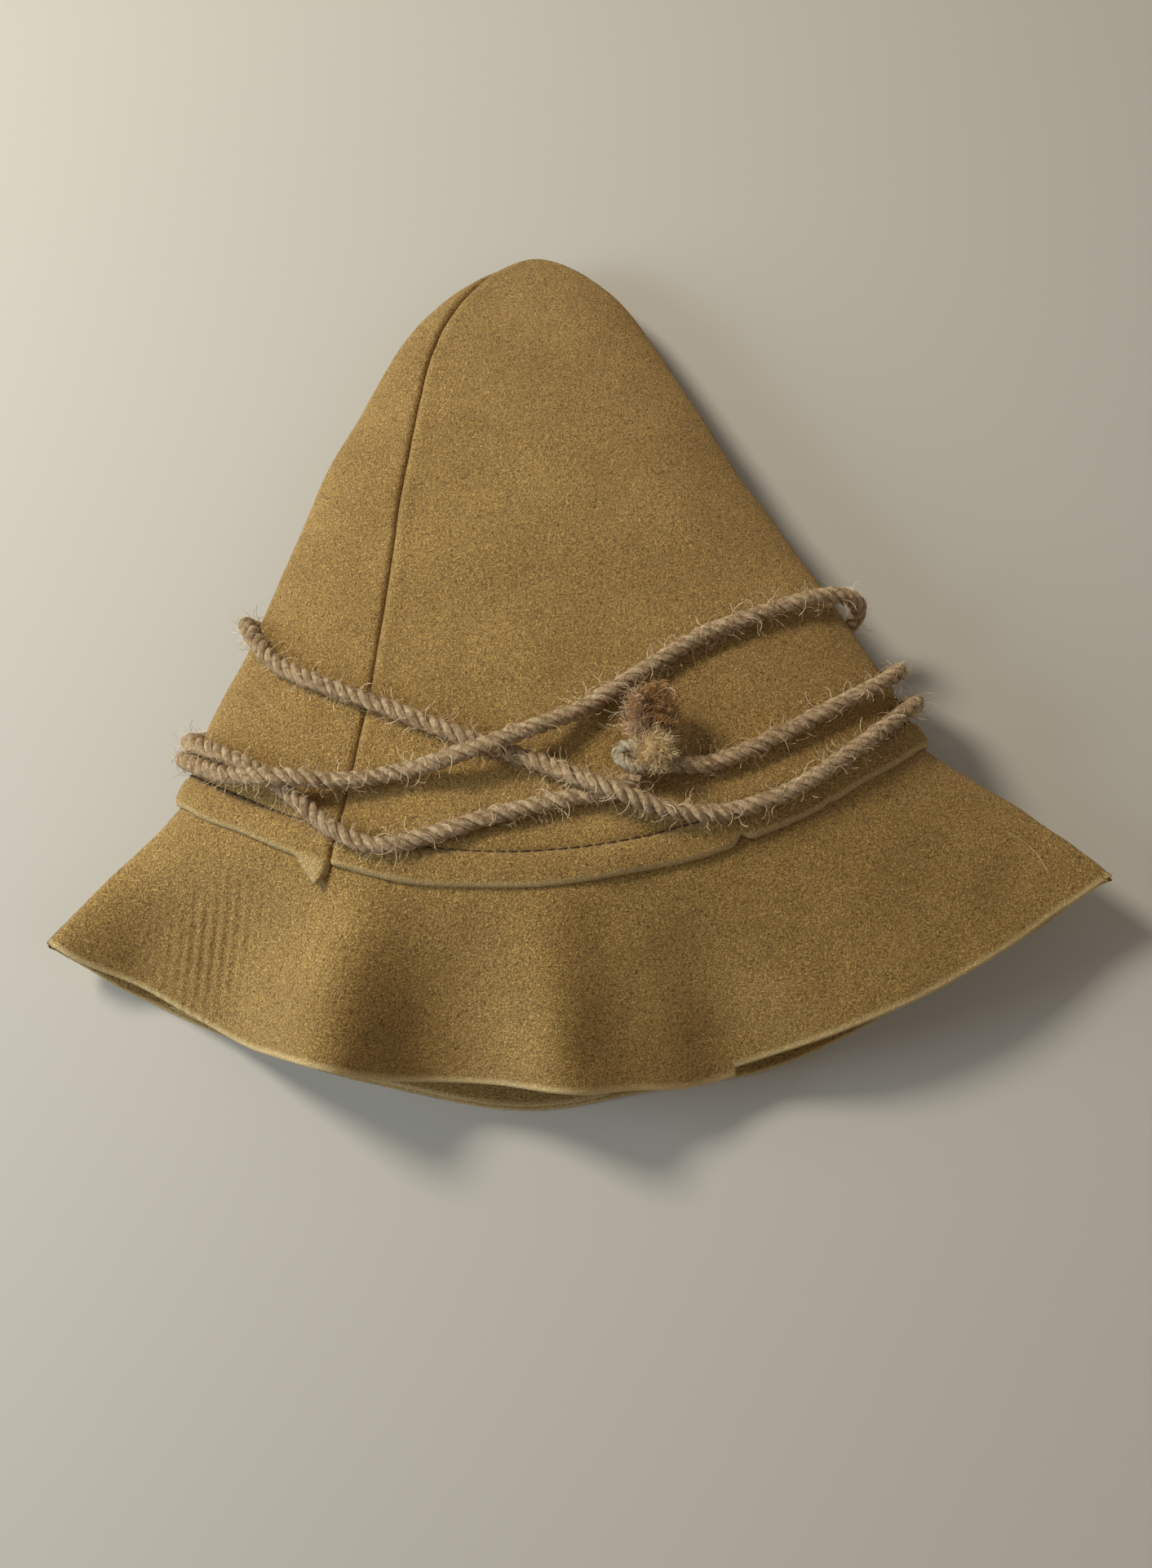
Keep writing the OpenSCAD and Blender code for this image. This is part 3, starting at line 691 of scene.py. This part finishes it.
def brim_ring(name, columns, rows):
    """The brim as a closed ring of felt with a painted highlight on its cut rim, and pressed folds.
    """
    fine = np.linspace(0, 360, 2881)
    edge = felt_at(np.full_like(fine, 9.6), fine)
    # More columns where the pressed folds are, and fewer at the back.
    weight = 1 + 2.2 * bump(fine[1:], 139, 17) - 0.35 * (fine[1:] > 185)
    run = run_along(edge, weight)
    angle = np.interp(np.linspace(0, run[-1], columns, endpoint=False), run, fine)
    angle = np.sort(np.concatenate([angle, [RIM_STEP - 0.08, RIM_STEP + 0.08]]))
    n = len(angle)
    trim = np.where(angle < RIM_STEP, 0, 0.08 * np.exp(-(angle - RIM_STEP) / 20))
    trim = trim + (0.3 * np.sin(np.radians(angle * 9 + 15))
                   + 0.12 * np.sin(np.radians(angle * 23))) / LEVEL
    # The front hangs a little short between its two waves, and the back shows below it.
    trim = trim - (3.4 * bump(angle, 99, 7.5) + 1.5 * bump(angle, 84, 4)) / LEVEL
    trim = trim + (4.2 * bump(angle, 264, 9) + 2.2 * bump(angle, 292, 9)) / LEVEL
    share = np.linspace(0, 1, rows)
    level = LAP_EDGE + share[:, None] * (10 + trim - 1.3 / LEVEL - LAP_EDGE)[None]
    angles = np.repeat(angle[None], rows, 0)
    middle = felt_at(level, angles)
    lump = ripple(middle, 5, 38, 0.35) + ripple(middle, 9, 14, 0.1)
    lump = lump * ease((level - 7.75) / 0.5)
    # Fine folds that were pressed into the felt left of the middle.
    where = bump(angles, 138.5, 7.5) * bump(level, 9.25, 0.7)
    lines = np.sin(2 * math.pi * (middle[..., 0] - 0.18 * middle[..., 1]) / 4.6
                   + 0.9 * np.sin(middle[..., 1] / 17))
    lump = lump + 0.5 * where * lines
    where = bump(angles, 121.5, 3.2) * bump(level, 9.1, 0.6)
    lump = lump + 0.25 * where * np.sin(2 * math.pi * angles / 2.1)
    # The two waves stand steep on their right sides, and the left tip turns up past its hollow.
    out = ease((level - 8.3) / 1.6)
    lump = lump + out * sum(height * bump(angles, at, wide) for height, at, wide in STEEPER)
    lift = out * (8.0 * bump(angles, 169, np.where(angles > 169, 28, 13))
                  + 2.5 * bump(np.mod(angles + 180, 360), 188, 16))
    tuck = 0.5 * (1 - ease((level - 7.6) / 0.42))
    top = above(level, angles, FELT / 2 - BRIM_DROP + lump - tuck)
    bottom = above(level, angles, -FELT / 2 - BRIM_DROP + lump - tuck * 0.6)
    top[..., 2] += lift
    bottom[..., 2] += lift
    down = down_the_felt(level[-1], angle)
    up = outward(level[-1], angle)
    rim = [top[-1] + down * far - up * depth for far, depth in (
        (0.35, 0.1), (0.9, 0.4), (1.4, 1.0), (1.5, 1.9), (0.9, 2.75))]
    inner = [bottom[0] + (top[0] - bottom[0]) * f for f in (0.12, 0.88)]
    strip = np.concatenate([top, np.stack(rim), bottom[::-1], np.stack(inner)])
    # Where the lower skin meets the floor the upper one keeps the felt's thickness above it.
    strip[..., 2] = np.maximum(strip[..., 2], FLOOR)
    strip[:rows, :, 2] = np.maximum(strip[:rows, :, 2], 2.6 * ease((level - 7.7) / 0.3) + FLOOR)
    count = len(strip)
    points = strip.reshape(-1, 3)
    faces = grid_faces(count, n, wrap=True).tolist()
    last = (count - 1) * n
    faces += [[last + j, j, (j + 1) % n, last + (j + 1) % n] for j in range(n)]
    # Painted highlight: the rim's rows get the pale edge colour.
    cut = np.zeros((count, n))
    cut[rows - 1:rows + 4] = 1.0
    cut[rows + 4] = 0.5
    grow = np.zeros((count, n))
    grow[:rows] = ease((level - 8.0) / 0.2)
    grow[rows:rows + 3] = 1.2
    grow[rows + 5:rows + 5 + rows] = 0.25
    return new_mesh(name, points, faces, {"cut": cut.ravel(), "grow": grow.ravel()})


# ---------------------------------------------------------------------------
# Rope
# ---------------------------------------------------------------------------

def smooth_curve(points, per=14):
    """A smooth curve through points, as many short steps."""
    p = np.asarray(points, float)
    p = np.concatenate([[2 * p[0] - p[1]], p, [2 * p[-1] - p[-2]]])
    t = np.linspace(0, 1, per, endpoint=False)[:, None]
    parts = []
    for i in range(len(p) - 3):
        a, b, c, d = p[i:i + 4]
        parts.append((2 * b + (c - a) * t + (2 * a - 5 * b + 4 * c - d) * t ** 2
                      + (3 * b - a - 3 * c + d) * t ** 3) / 2)
    return np.concatenate(parts + [p[-2:-1]])


def even_curve(points, step):
    """The same curve with points at an even distance."""
    run = run_along(points)
    count = max(int(round(run[-1] / step)), 2)
    at = np.linspace(0, run[-1], count + 1)
    return np.stack([np.interp(at, run, points[:, i]) for i in range(3)], 1)


def soften(points, reach):
    """Averages a curve along its length, keeping its ends."""
    size = int(reach * 3)
    x = np.arange(-size, size + 1)
    w = np.exp(-(x / reach) ** 2 / 2)
    w /= w.sum()
    padded = np.concatenate([2 * points[0] - points[size:0:-1], points,
                             2 * points[-1] - points[-2:-size - 2:-1]])
    return np.stack([np.convolve(padded[:, i], w, "valid") for i in range(3)], 1)


def route_point(k, a, lift):
    """The middle of the rope at one point of its route."""
    if lift < 0:
        p = felt_at(k, a)
        return np.array([p[0], p[1], -lift * ROPE - ROPE / 2 + 0.15 * (-lift - 1)])
    return above(k, a, FELT / 2 + ROPE_GAP + ROPE / 2 + lift * ROPE)


def rope_route():
    """The middle line of the whole rope, smoothed as a soft rope lies."""
    raw = np.array([route_point(*r) for r in ROUTE])
    line = even_curve(smooth_curve(raw), ROPE_STEP)
    eased = soften(line, 3.0 / ROPE_STEP)
    eased[:, 2] = np.maximum(eased[:, 2], ROPE / 2)
    return even_curve(eased, ROPE_STEP)


def frames(line):
    """Directions along and across a curve, carried without a twist."""
    tangent = unit(np.gradient(line, axis=0))
    across = np.zeros_like(line)
    side = np.array([0.0, 0.0, 1.0])
    for i, t in enumerate(tangent):
        side = side - t * (side @ t)
        side = side / max(np.linalg.norm(side), 1e-9)
        across[i] = side
    return tangent, across, np.cross(tangent, across)


def rope_piece(name, line, step, pitch, strand, helix, seed=1):
    """Three strands twisted round a curve, with a value for how deep each point lies."""
    rng = np.random.default_rng(seed)
    _, across, over = frames(line)
    run = np.arange(len(line)) * step
    spin = np.linspace(0, 2 * math.pi, STRAND_SIDES, endpoint=False)
    # A strand is flatter where it presses on the other two.
    shape = 1 - 0.16 * np.maximum(-np.cos(spin), 0)
    points, faces, uv, hollow = [], [], [], []
    for m in range(3):
        wander = ripple(np.stack([run, run * 0, run * 0], 1), seed + m, 23, 0.10)
        phase = 2 * math.pi * run / pitch + 2 * math.pi * m / 3 + wander
        reach = helix * (1 + 0.05 * np.sin(run / 9.0 + m))
        centre = (line + across * (np.cos(phase) * reach)[:, None]
                  + over * (np.sin(phase) * reach)[:, None])
        fat = strand * (1 + 0.06 * np.sin(run / 5.3 + 2.1 * m + rng.uniform(0, 6)))
        fat = fat[:, None, None]
        way = frames(centre)[0]
        out = unit(centre - line)
        out = unit(out - way * np.sum(out * way, 1, keepdims=True))
        side = np.cross(way, out)
        ring = (centre[:, None] + out[:, None] * (np.cos(spin) * shape)[None, :, None] * fat
                + side[:, None] * (np.sin(spin) * 1.06)[None, :, None] * fat)
        start = m * ring.shape[0] * STRAND_SIDES
        end = start + (len(line) - 1) * STRAND_SIDES
        points.append(ring.reshape(-1, 3))
        faces += grid_faces(len(line), STRAND_SIDES, start, wrap=True, flip=True).tolist()
        faces.append([start + j for j in range(STRAND_SIDES)])
        faces.append([end + j for j in range(STRAND_SIDES)][::-1])
        u = np.repeat((run / 10.0)[:, None], STRAND_SIDES, 1)
        v = np.repeat((spin / (2 * math.pi))[None], len(line), 0) + 0.02 * u
        uv.append(np.stack([u + m * 3.7, v], -1).reshape(-1, 2))
        # How deep each point lies between the strands: it sets the painted shade there, and fewer
        # hairs grow there.
        away = np.linalg.norm(ring - line[:, None], axis=2)
        hollow.append(np.clip((helix + strand * 0.58 - away) / (strand * 0.42), 0, 1).ravel())
    points, hollow = np.concatenate(points), np.concatenate(hollow)
    points[:, 2] = np.maximum(points[:, 2], FLOOR)
    return new_mesh(name, points, faces, {"hollow": hollow, "grow": 1 - hollow},
                    np.concatenate(uv))


# ---------------------------------------------------------------------------
# Settings
# ---------------------------------------------------------------------------

def color(name, description, default):
    """A colour setting."""
    return bpy.props.FloatVectorProperty(name=name, description=description, default=default,
                                         size=3, min=0, max=1, subtype="COLOR")


def length(name, description, default, low, high):
    """A length setting in metres."""
    return bpy.props.FloatProperty(name=name, description=description, default=default, min=low,
                                   max=high, subtype="DISTANCE", unit="LENGTH")


def number(kind, name, description, default, low, high):
    """A plain number setting."""
    return kind(name=name, description=description, default=default, min=low, max=high)


class FeltHatSettings(bpy.types.PropertyGroup):
    """Sizes and colours of the hat's felt"""
    light: color("Light felt", "Colour of the felt's paler fibres", (0.66, 0.425, 0.142))
    dark: color("Dark felt", "Colour of the felt's darker fibres", (0.255, 0.142, 0.037))
    # Painted highlight: the pale colour laid on the felt's cut edges.
    cut: color("Cut edge", "Colour of the felt where it was cut", (0.95, 0.70, 0.33))
    columns: number(bpy.props.IntProperty, "Panel columns", "Points across one crown panel",
                    150, 30, 200)
    fuzz: number(bpy.props.IntProperty, "Fuzz", "Loose fibres for each square metre of felt",
                 260000, 0, 900000)
    fuzz_length: length("Fuzz length", "Length of the loose fibres on the felt",
                        0.0017, 0.0002, 0.01)


class RopeSettings(bpy.types.PropertyGroup):
    """Sizes and colours of the rope"""
    strand: length("Strand radius", "Radius of one of the three strands", 0.00166, 0.001, 0.003)
    helix: length("Lay radius", "Distance of a strand's middle from the rope's middle",
                  0.00192, 0.001, 0.003)
    pitch: length("Lay length", "Length in which a strand goes once round", 0.0152, 0.008, 0.04)
    light: color("Light jute", "Colour of the paler fibres", (0.98, 0.72, 0.42))
    dark: color("Dark jute", "Colour of the darker fibres", (0.33, 0.165, 0.055))
    hairs: number(bpy.props.IntProperty, "Hairs",
                  "Stray hairs for each square metre of rope surface", 160000, 0, 400000)


class StageSettings(bpy.types.PropertyGroup):
    """Floor, light and camera"""
    floor: color("Floor", "Colour of the floor", (0.60, 0.575, 0.52))
    key: number(bpy.props.FloatProperty, "Key light", "Strength of the main light in watts",
                13.0, 0, 500)
    fill: number(bpy.props.FloatProperty, "Fill light",
                 "Strength of the light from all round", 0.17, 0, 5)
    distance: length("Camera distance", "Distance of the camera from the hat", 0.58, 0.2, 3)


made = {}


# ---------------------------------------------------------------------------
# Operators
# ---------------------------------------------------------------------------

class HAT_OT_stage(bpy.types.Operator):
    """Set the floor, the lights and the camera"""
    bl_idname = "felthat.stage"
    bl_label = "Stage"

    def execute(self, context):
        s = context.scene.hat_stage
        elevation = math.radians(CAMERA_ELEVATION)
        target = Vector((-0.0015, -0.0605, 0.025))
        data = bpy.data.cameras.new("camera")
        data.sensor_fit = "VERTICAL"
        data.sensor_height = 36.0
        data.lens = CAMERA_LENS
        data.clip_start = 0.01
        camera = bpy.data.objects.new("camera", data)
        away = Vector((0, -math.cos(elevation), math.sin(elevation)))
        camera.location = target + s.distance * away
        camera.rotation_euler = (math.radians(90) - elevation, 0, 0)
        context.scene.collection.objects.link(camera)
        context.scene.camera = camera

        corners = [(-1, -1, 0), (1, -1, 0), (1, 1, 0), (-1, 1, 0)]
        floor = new_mesh("floor", np.array(corners) * FLOOR_HALF, [(0, 1, 2, 3)], smooth=False)
        floor.data.materials.append(floor_material("floor", s.floor))

        for name, place, size, power, tint in LIGHTS:
            lamp = bpy.data.lights.new(name, "AREA")
            lamp.shape = "DISK"
            lamp.size = size
            lamp.energy = s.key * power
            lamp.color = tint
            holder = bpy.data.objects.new(name, lamp)
            holder.location = place
            holder.rotation_euler = (target - Vector(place)).to_track_quat("-Z", "Y").to_euler()
            context.scene.collection.objects.link(holder)
        world = bpy.data.worlds.new("studio")
        world.use_nodes = True
        shade = world.node_tree.nodes["Background"]
        shade.inputs["Color"].default_value = (1.0, 0.88, 0.74, 1.0)
        shade.inputs["Strength"].default_value = s.fill
        context.scene.world = world
        context.scene.view_settings.view_transform = "Standard"
        return {"FINISHED"}


class HAT_OT_crown(bpy.types.Operator):
    """Build the two crown panels"""
    bl_idname = "felthat.crown"
    bl_label = "Crown panels"

    def execute(self, context):
        s = context.scene.hat_felt
        for name, back in (("front_panel", 0), ("back_panel", 1)):
            piece = crown_panel("hat_" + name, back, s.columns)
            piece.data.materials.append(felt_material("wool felt", s))
            made[name] = piece
            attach(piece, "hat")
            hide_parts("crown_" + name)
        return {"FINISHED"}


class HAT_OT_brim(bpy.types.Operator):
    """Build the brim"""
    bl_idname = "felthat.brim"
    bl_label = "Brim"

    def execute(self, context):
        piece = brim_ring("hat_brim", BRIM_COLUMNS, BRIM_ROWS)
        piece.data.materials.append(felt_material("wool felt", context.scene.hat_felt))
        made["brim"] = piece
        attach(piece, "hat")
        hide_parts("brim")
        return {"FINISHED"}


def stray_hair(brim):
    """One long pale hair that lies on the brim's right side."""
    spots = np.empty(len(brim.vertices) * 3, np.float32)
    brim.vertices.foreach_get("co", spots)
    spots = spots.reshape(-1, 3) / MM
    hair = smooth_curve(np.array([(168.4, -83.0, 0), (174.4, -86.4, 0), (179.6, -91.2, 0),
                                  (183.2, -97.6, 0)]), 8)
    for p in hair:
        near = spots[np.hypot(spots[:, 0] - p[0], spots[:, 1] - p[1]) < 2.4]
        p[2] = near[:, 2].max() + 0.35
    hair[:, 2] = np.convolve(np.pad(hair[:, 2], 3, "edge"), np.full(7, 1 / 7), "valid")
    turns = np.radians([90, 210, 330])
    ring = np.stack([np.cos(turns), np.zeros(3), np.sin(turns)], 1) * 0.15
    faces = grid_faces(len(hair), 3, wrap=True).tolist()
    faces += [[0, 1, 2], [len(hair) * 3 - 1 - j for j in range(3)]]
    return new_mesh("stray_hair", (hair[:, None] + ring[None]).reshape(-1, 3), faces)


class HAT_OT_fuzz(bpy.types.Operator):
    """Grow loose wool fibres from the felt, and lay one stray hair on the brim"""
    bl_idname = "felthat.fuzz"
    bl_label = "Felt fuzz"

    def execute(self, context):
        s = context.scene.hat_felt
        wool = hair_material("wool fibres", [min(c * 1.3 + 0.06, 1) for c in s.light], s.dark,
                             (180.0, 60.0, 0.3), 0.9, 0.2)
        for name in ("front_panel", "back_panel", "brim"):
            piece = baked(made[name], fibre_tree("Loose fibres"), {
                "Fibres per square metre": float(s.fuzz), "Length": s.fuzz_length,
                "Width": 0.00007, "Rise": 0.28, "Curl": 0.35, "Spread": 0.9, "Seed": 11,
                "Material": wool}, name + "_fuzz")
            made[name + "_fuzz"] = piece
            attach(piece, "hat")
        stray = stray_hair(made["brim"].data)
        stray.data.materials.append(
            hair_material("pale hair", (1.0, 0.84, 0.5), (0.9, 0.72, 0.42)))
        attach(stray, "hat")
        return {"FINISHED"}


class HAT_OT_stitching(bpy.types.Operator):
    """Sew the row of stitches round the lap, and give the seams their thread"""
    bl_idname = "felthat.stitching"
    bl_label = "Stitching"

    def execute(self, context):
        dark = thread_material("sewing thread", (0.15, 0.085, 0.035), (0.06, 0.033, 0.014))
        angle = np.linspace(0, 360, 1441)
        k = np.full_like(angle, STITCH_LEVEL)
        line = above(k, angle, FELT / 2 - STITCH_DEPTH)
        line[:, 2] = np.maximum(line[:, 2], 0.5)
        path = bpy.data.meshes.new("stitch path")
        path.from_pydata((line * MM).tolist(), [(i, i + 1) for i in range(len(line) - 1)], [])
        up = path.attributes.new("up", "FLOAT_VECTOR", "POINT")
        up.data.foreach_set("vector", outward(k, angle).astype(np.float32).ravel())
        holder = bpy.data.objects.new("stitch path", path)
        context.scene.collection.objects.link(holder)
        row = baked(holder, stitch_tree("Stitches"), {
            "Pitch": 0.0046, "Stitch length": 0.0036, "Thread": 0.0008, "Material": dark},
            "lap_stitches")
        bpy.data.objects.remove(holder)
        row.data.polygons.foreach_set("use_smooth", [True] * len(row.data.polygons))
        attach(row, "hat")
        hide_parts("brim_topstitch")
        for node in ("seam_thread_left", "seam_thread_right"):
            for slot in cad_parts[node].material_slots:
                slot.material = dark
        return {"FINISHED"}


class HAT_OT_rope(bpy.types.Operator):
    """Lay the rope three times round the crown, with its stray hairs"""
    bl_idname = "felthat.rope"
    bl_label = "Rope"

    def execute(self, context):
        s = context.scene.hat_rope
        line = rope_route()
        piece = rope_piece("rope", line, ROPE_STEP, s.pitch / MM, s.strand / MM, s.helix / MM)
        piece.data.materials.append(jute_material("jute rope", s.light, s.dark))
        made["rope"] = piece
        made["rope_line"] = line
        hairs = baked(piece, fibre_tree("Loose fibres"), {
            "Fibres per square metre": float(s.hairs), "Length": 0.0056, "Width": 0.00015,
            "Rise": 0.34, "Curl": 0.35, "Spread": 1.5, "Seed": 5,
            "Material": hair_material(*JUTE_HAIR)}, "rope_hairs")
        made["rope_hairs"] = hairs
        for p in (piece, hairs):
            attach(p, "hatband")
        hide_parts("rope_band")
        return {"FINISHED"}


def tuft_core(name, seed, middle, size):
    """A rough closed ball that a tuft's fibres grow from."""
    rows, columns = 14, 22
    spin, lift = np.meshgrid(np.linspace(0, 2 * math.pi, columns, endpoint=False),
                             np.linspace(0.1, math.pi - 0.1, rows))
    way = np.stack([np.sin(lift) * np.cos(spin), np.sin(lift) * np.sin(spin), np.cos(lift)], -1)
    rough = 1 + ripple(way * 5, seed, 5.2, 0.24)[..., None]
    ball = way * np.array(size) * rough + np.array(middle)
    points = np.concatenate([ball.reshape(-1, 3), [ball[0].mean(0), ball[-1].mean(0)]])
    faces = grid_faces(rows, columns, wrap=True).tolist()
    top, last = rows * columns, (rows - 1) * columns
    faces += [[top, j, (j + 1) % columns] for j in range(columns)]
    faces += [[top + 1, last + (j + 1) % columns, last + j] for j in range(columns)]
    return new_mesh(name + "_core", points, faces, {"grow": np.ones(len(points))})


class HAT_OT_knot(bpy.types.Operator):
    """Tie the knot with its two tufts"""
    bl_idname = "felthat.knot"
    bl_label = "Knot"

    def execute(self, context):
        # The knot's jute is a paler copy of the rope's: painted highlight on the raised knot.
        lit_knot_jute = jute_material("jute knot", (1.0, 0.84, 0.56), (0.36, 0.22, 0.10), 0.95)
        brown = jute_material("jute end", (0.46, 0.31, 0.18), (0.22, 0.12, 0.06), 0.9)
        for name, points, strand, finish in (("knot", KNOT_BIGHT, 1.22, lit_knot_jute),
                                             ("rope_end", KNOT_STUB, 1.15, brown)):
            line = even_curve(smooth_curve(np.array(points, float), 12), KNOT_STEP)
            piece = rope_piece(name, line, KNOT_STEP, 9.5, strand, strand * 1.14, 4)
            piece.data.materials.append(finish)
            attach(piece, "hatband")
        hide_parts("rope_knot")

        for n, (name, node, middle, size, count, reach, rise, curl, light, dark, slot) in (
                enumerate(TUFTS)):
            finish = hair_material(name, light, dark)
            core = tuft_core(name, 21 + n, middle, size)
            core.data.materials.append(finish)
            tuft = baked(core, fibre_tree("Loose fibres"), {
                "Fibres per square metre": count, "Length": reach, "Width": 0.00014,
                "Rise": rise, "Curl": curl, "Spread": 1.7, "Seed": 3 + n,
                "Material": finish}, name)
            long = baked(core, fibre_tree("Loose fibres"), {
                "Fibres per square metre": count * 0.05, "Length": reach * 2.0,
                "Width": 0.00011, "Rise": 0.4, "Curl": 0.6, "Spread": 1.9, "Seed": 43 + n,
                "Material": hair_material(*JUTE_HAIR)}, name + "_hairs")
            for piece in (core, tuft, long):
                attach(piece, "hatband")
            if node:
                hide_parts(node)
        line = made["rope_line"]
        leaves = above(7.02, 74.6, FELT / 2 + ROPE_GAP + ROPE * 0.95) * MM
        return {"FINISHED"}


class HAT_PT_panel(bpy.types.Panel):
    """Lists the hat's settings and steps"""
    bl_label = "Felt Hat"
    bl_idname = "HAT_PT_panel"
    bl_space_type = "VIEW_3D"
    bl_region_type = "UI"
    bl_category = "Felt Hat"

    def draw(self, context):
        for title, settings in (("Felt", context.scene.hat_felt), ("Rope", context.scene.hat_rope),
                                ("Stage", context.scene.hat_stage)):
            box = self.layout.box()
            box.label(text=title)
            for key in settings.__annotations__:
                box.prop(settings, key)
        for step in STEPS:
            self.layout.operator(step.bl_idname)


STEPS = (HAT_OT_stage, HAT_OT_rope, HAT_OT_knot, HAT_OT_crown, HAT_OT_brim, HAT_OT_stitching,
         HAT_OT_fuzz)
CLASSES = (FeltHatSettings, RopeSettings, StageSettings) + STEPS + (HAT_PT_panel,)


def register():
    for one in CLASSES:
        bpy.utils.register_class(one)
    bpy.types.Scene.hat_felt = bpy.props.PointerProperty(type=FeltHatSettings)
    bpy.types.Scene.hat_rope = bpy.props.PointerProperty(type=RopeSettings)
    bpy.types.Scene.hat_stage = bpy.props.PointerProperty(type=StageSettings)


def unregister():
    del bpy.types.Scene.hat_stage
    del bpy.types.Scene.hat_rope
    del bpy.types.Scene.hat_felt
    for one in reversed(CLASSES):
        bpy.utils.unregister_class(one)


def main():
    """Builds the whole hat."""
    register()
    bpy.ops.felthat.stage()
    bpy.ops.felthat.rope()
    bpy.ops.felthat.knot()
    bpy.ops.felthat.crown()
    bpy.ops.felthat.brim()
    bpy.ops.felthat.stitching()
    bpy.ops.felthat.fuzz()


if __name__ == "__main__":
    main()
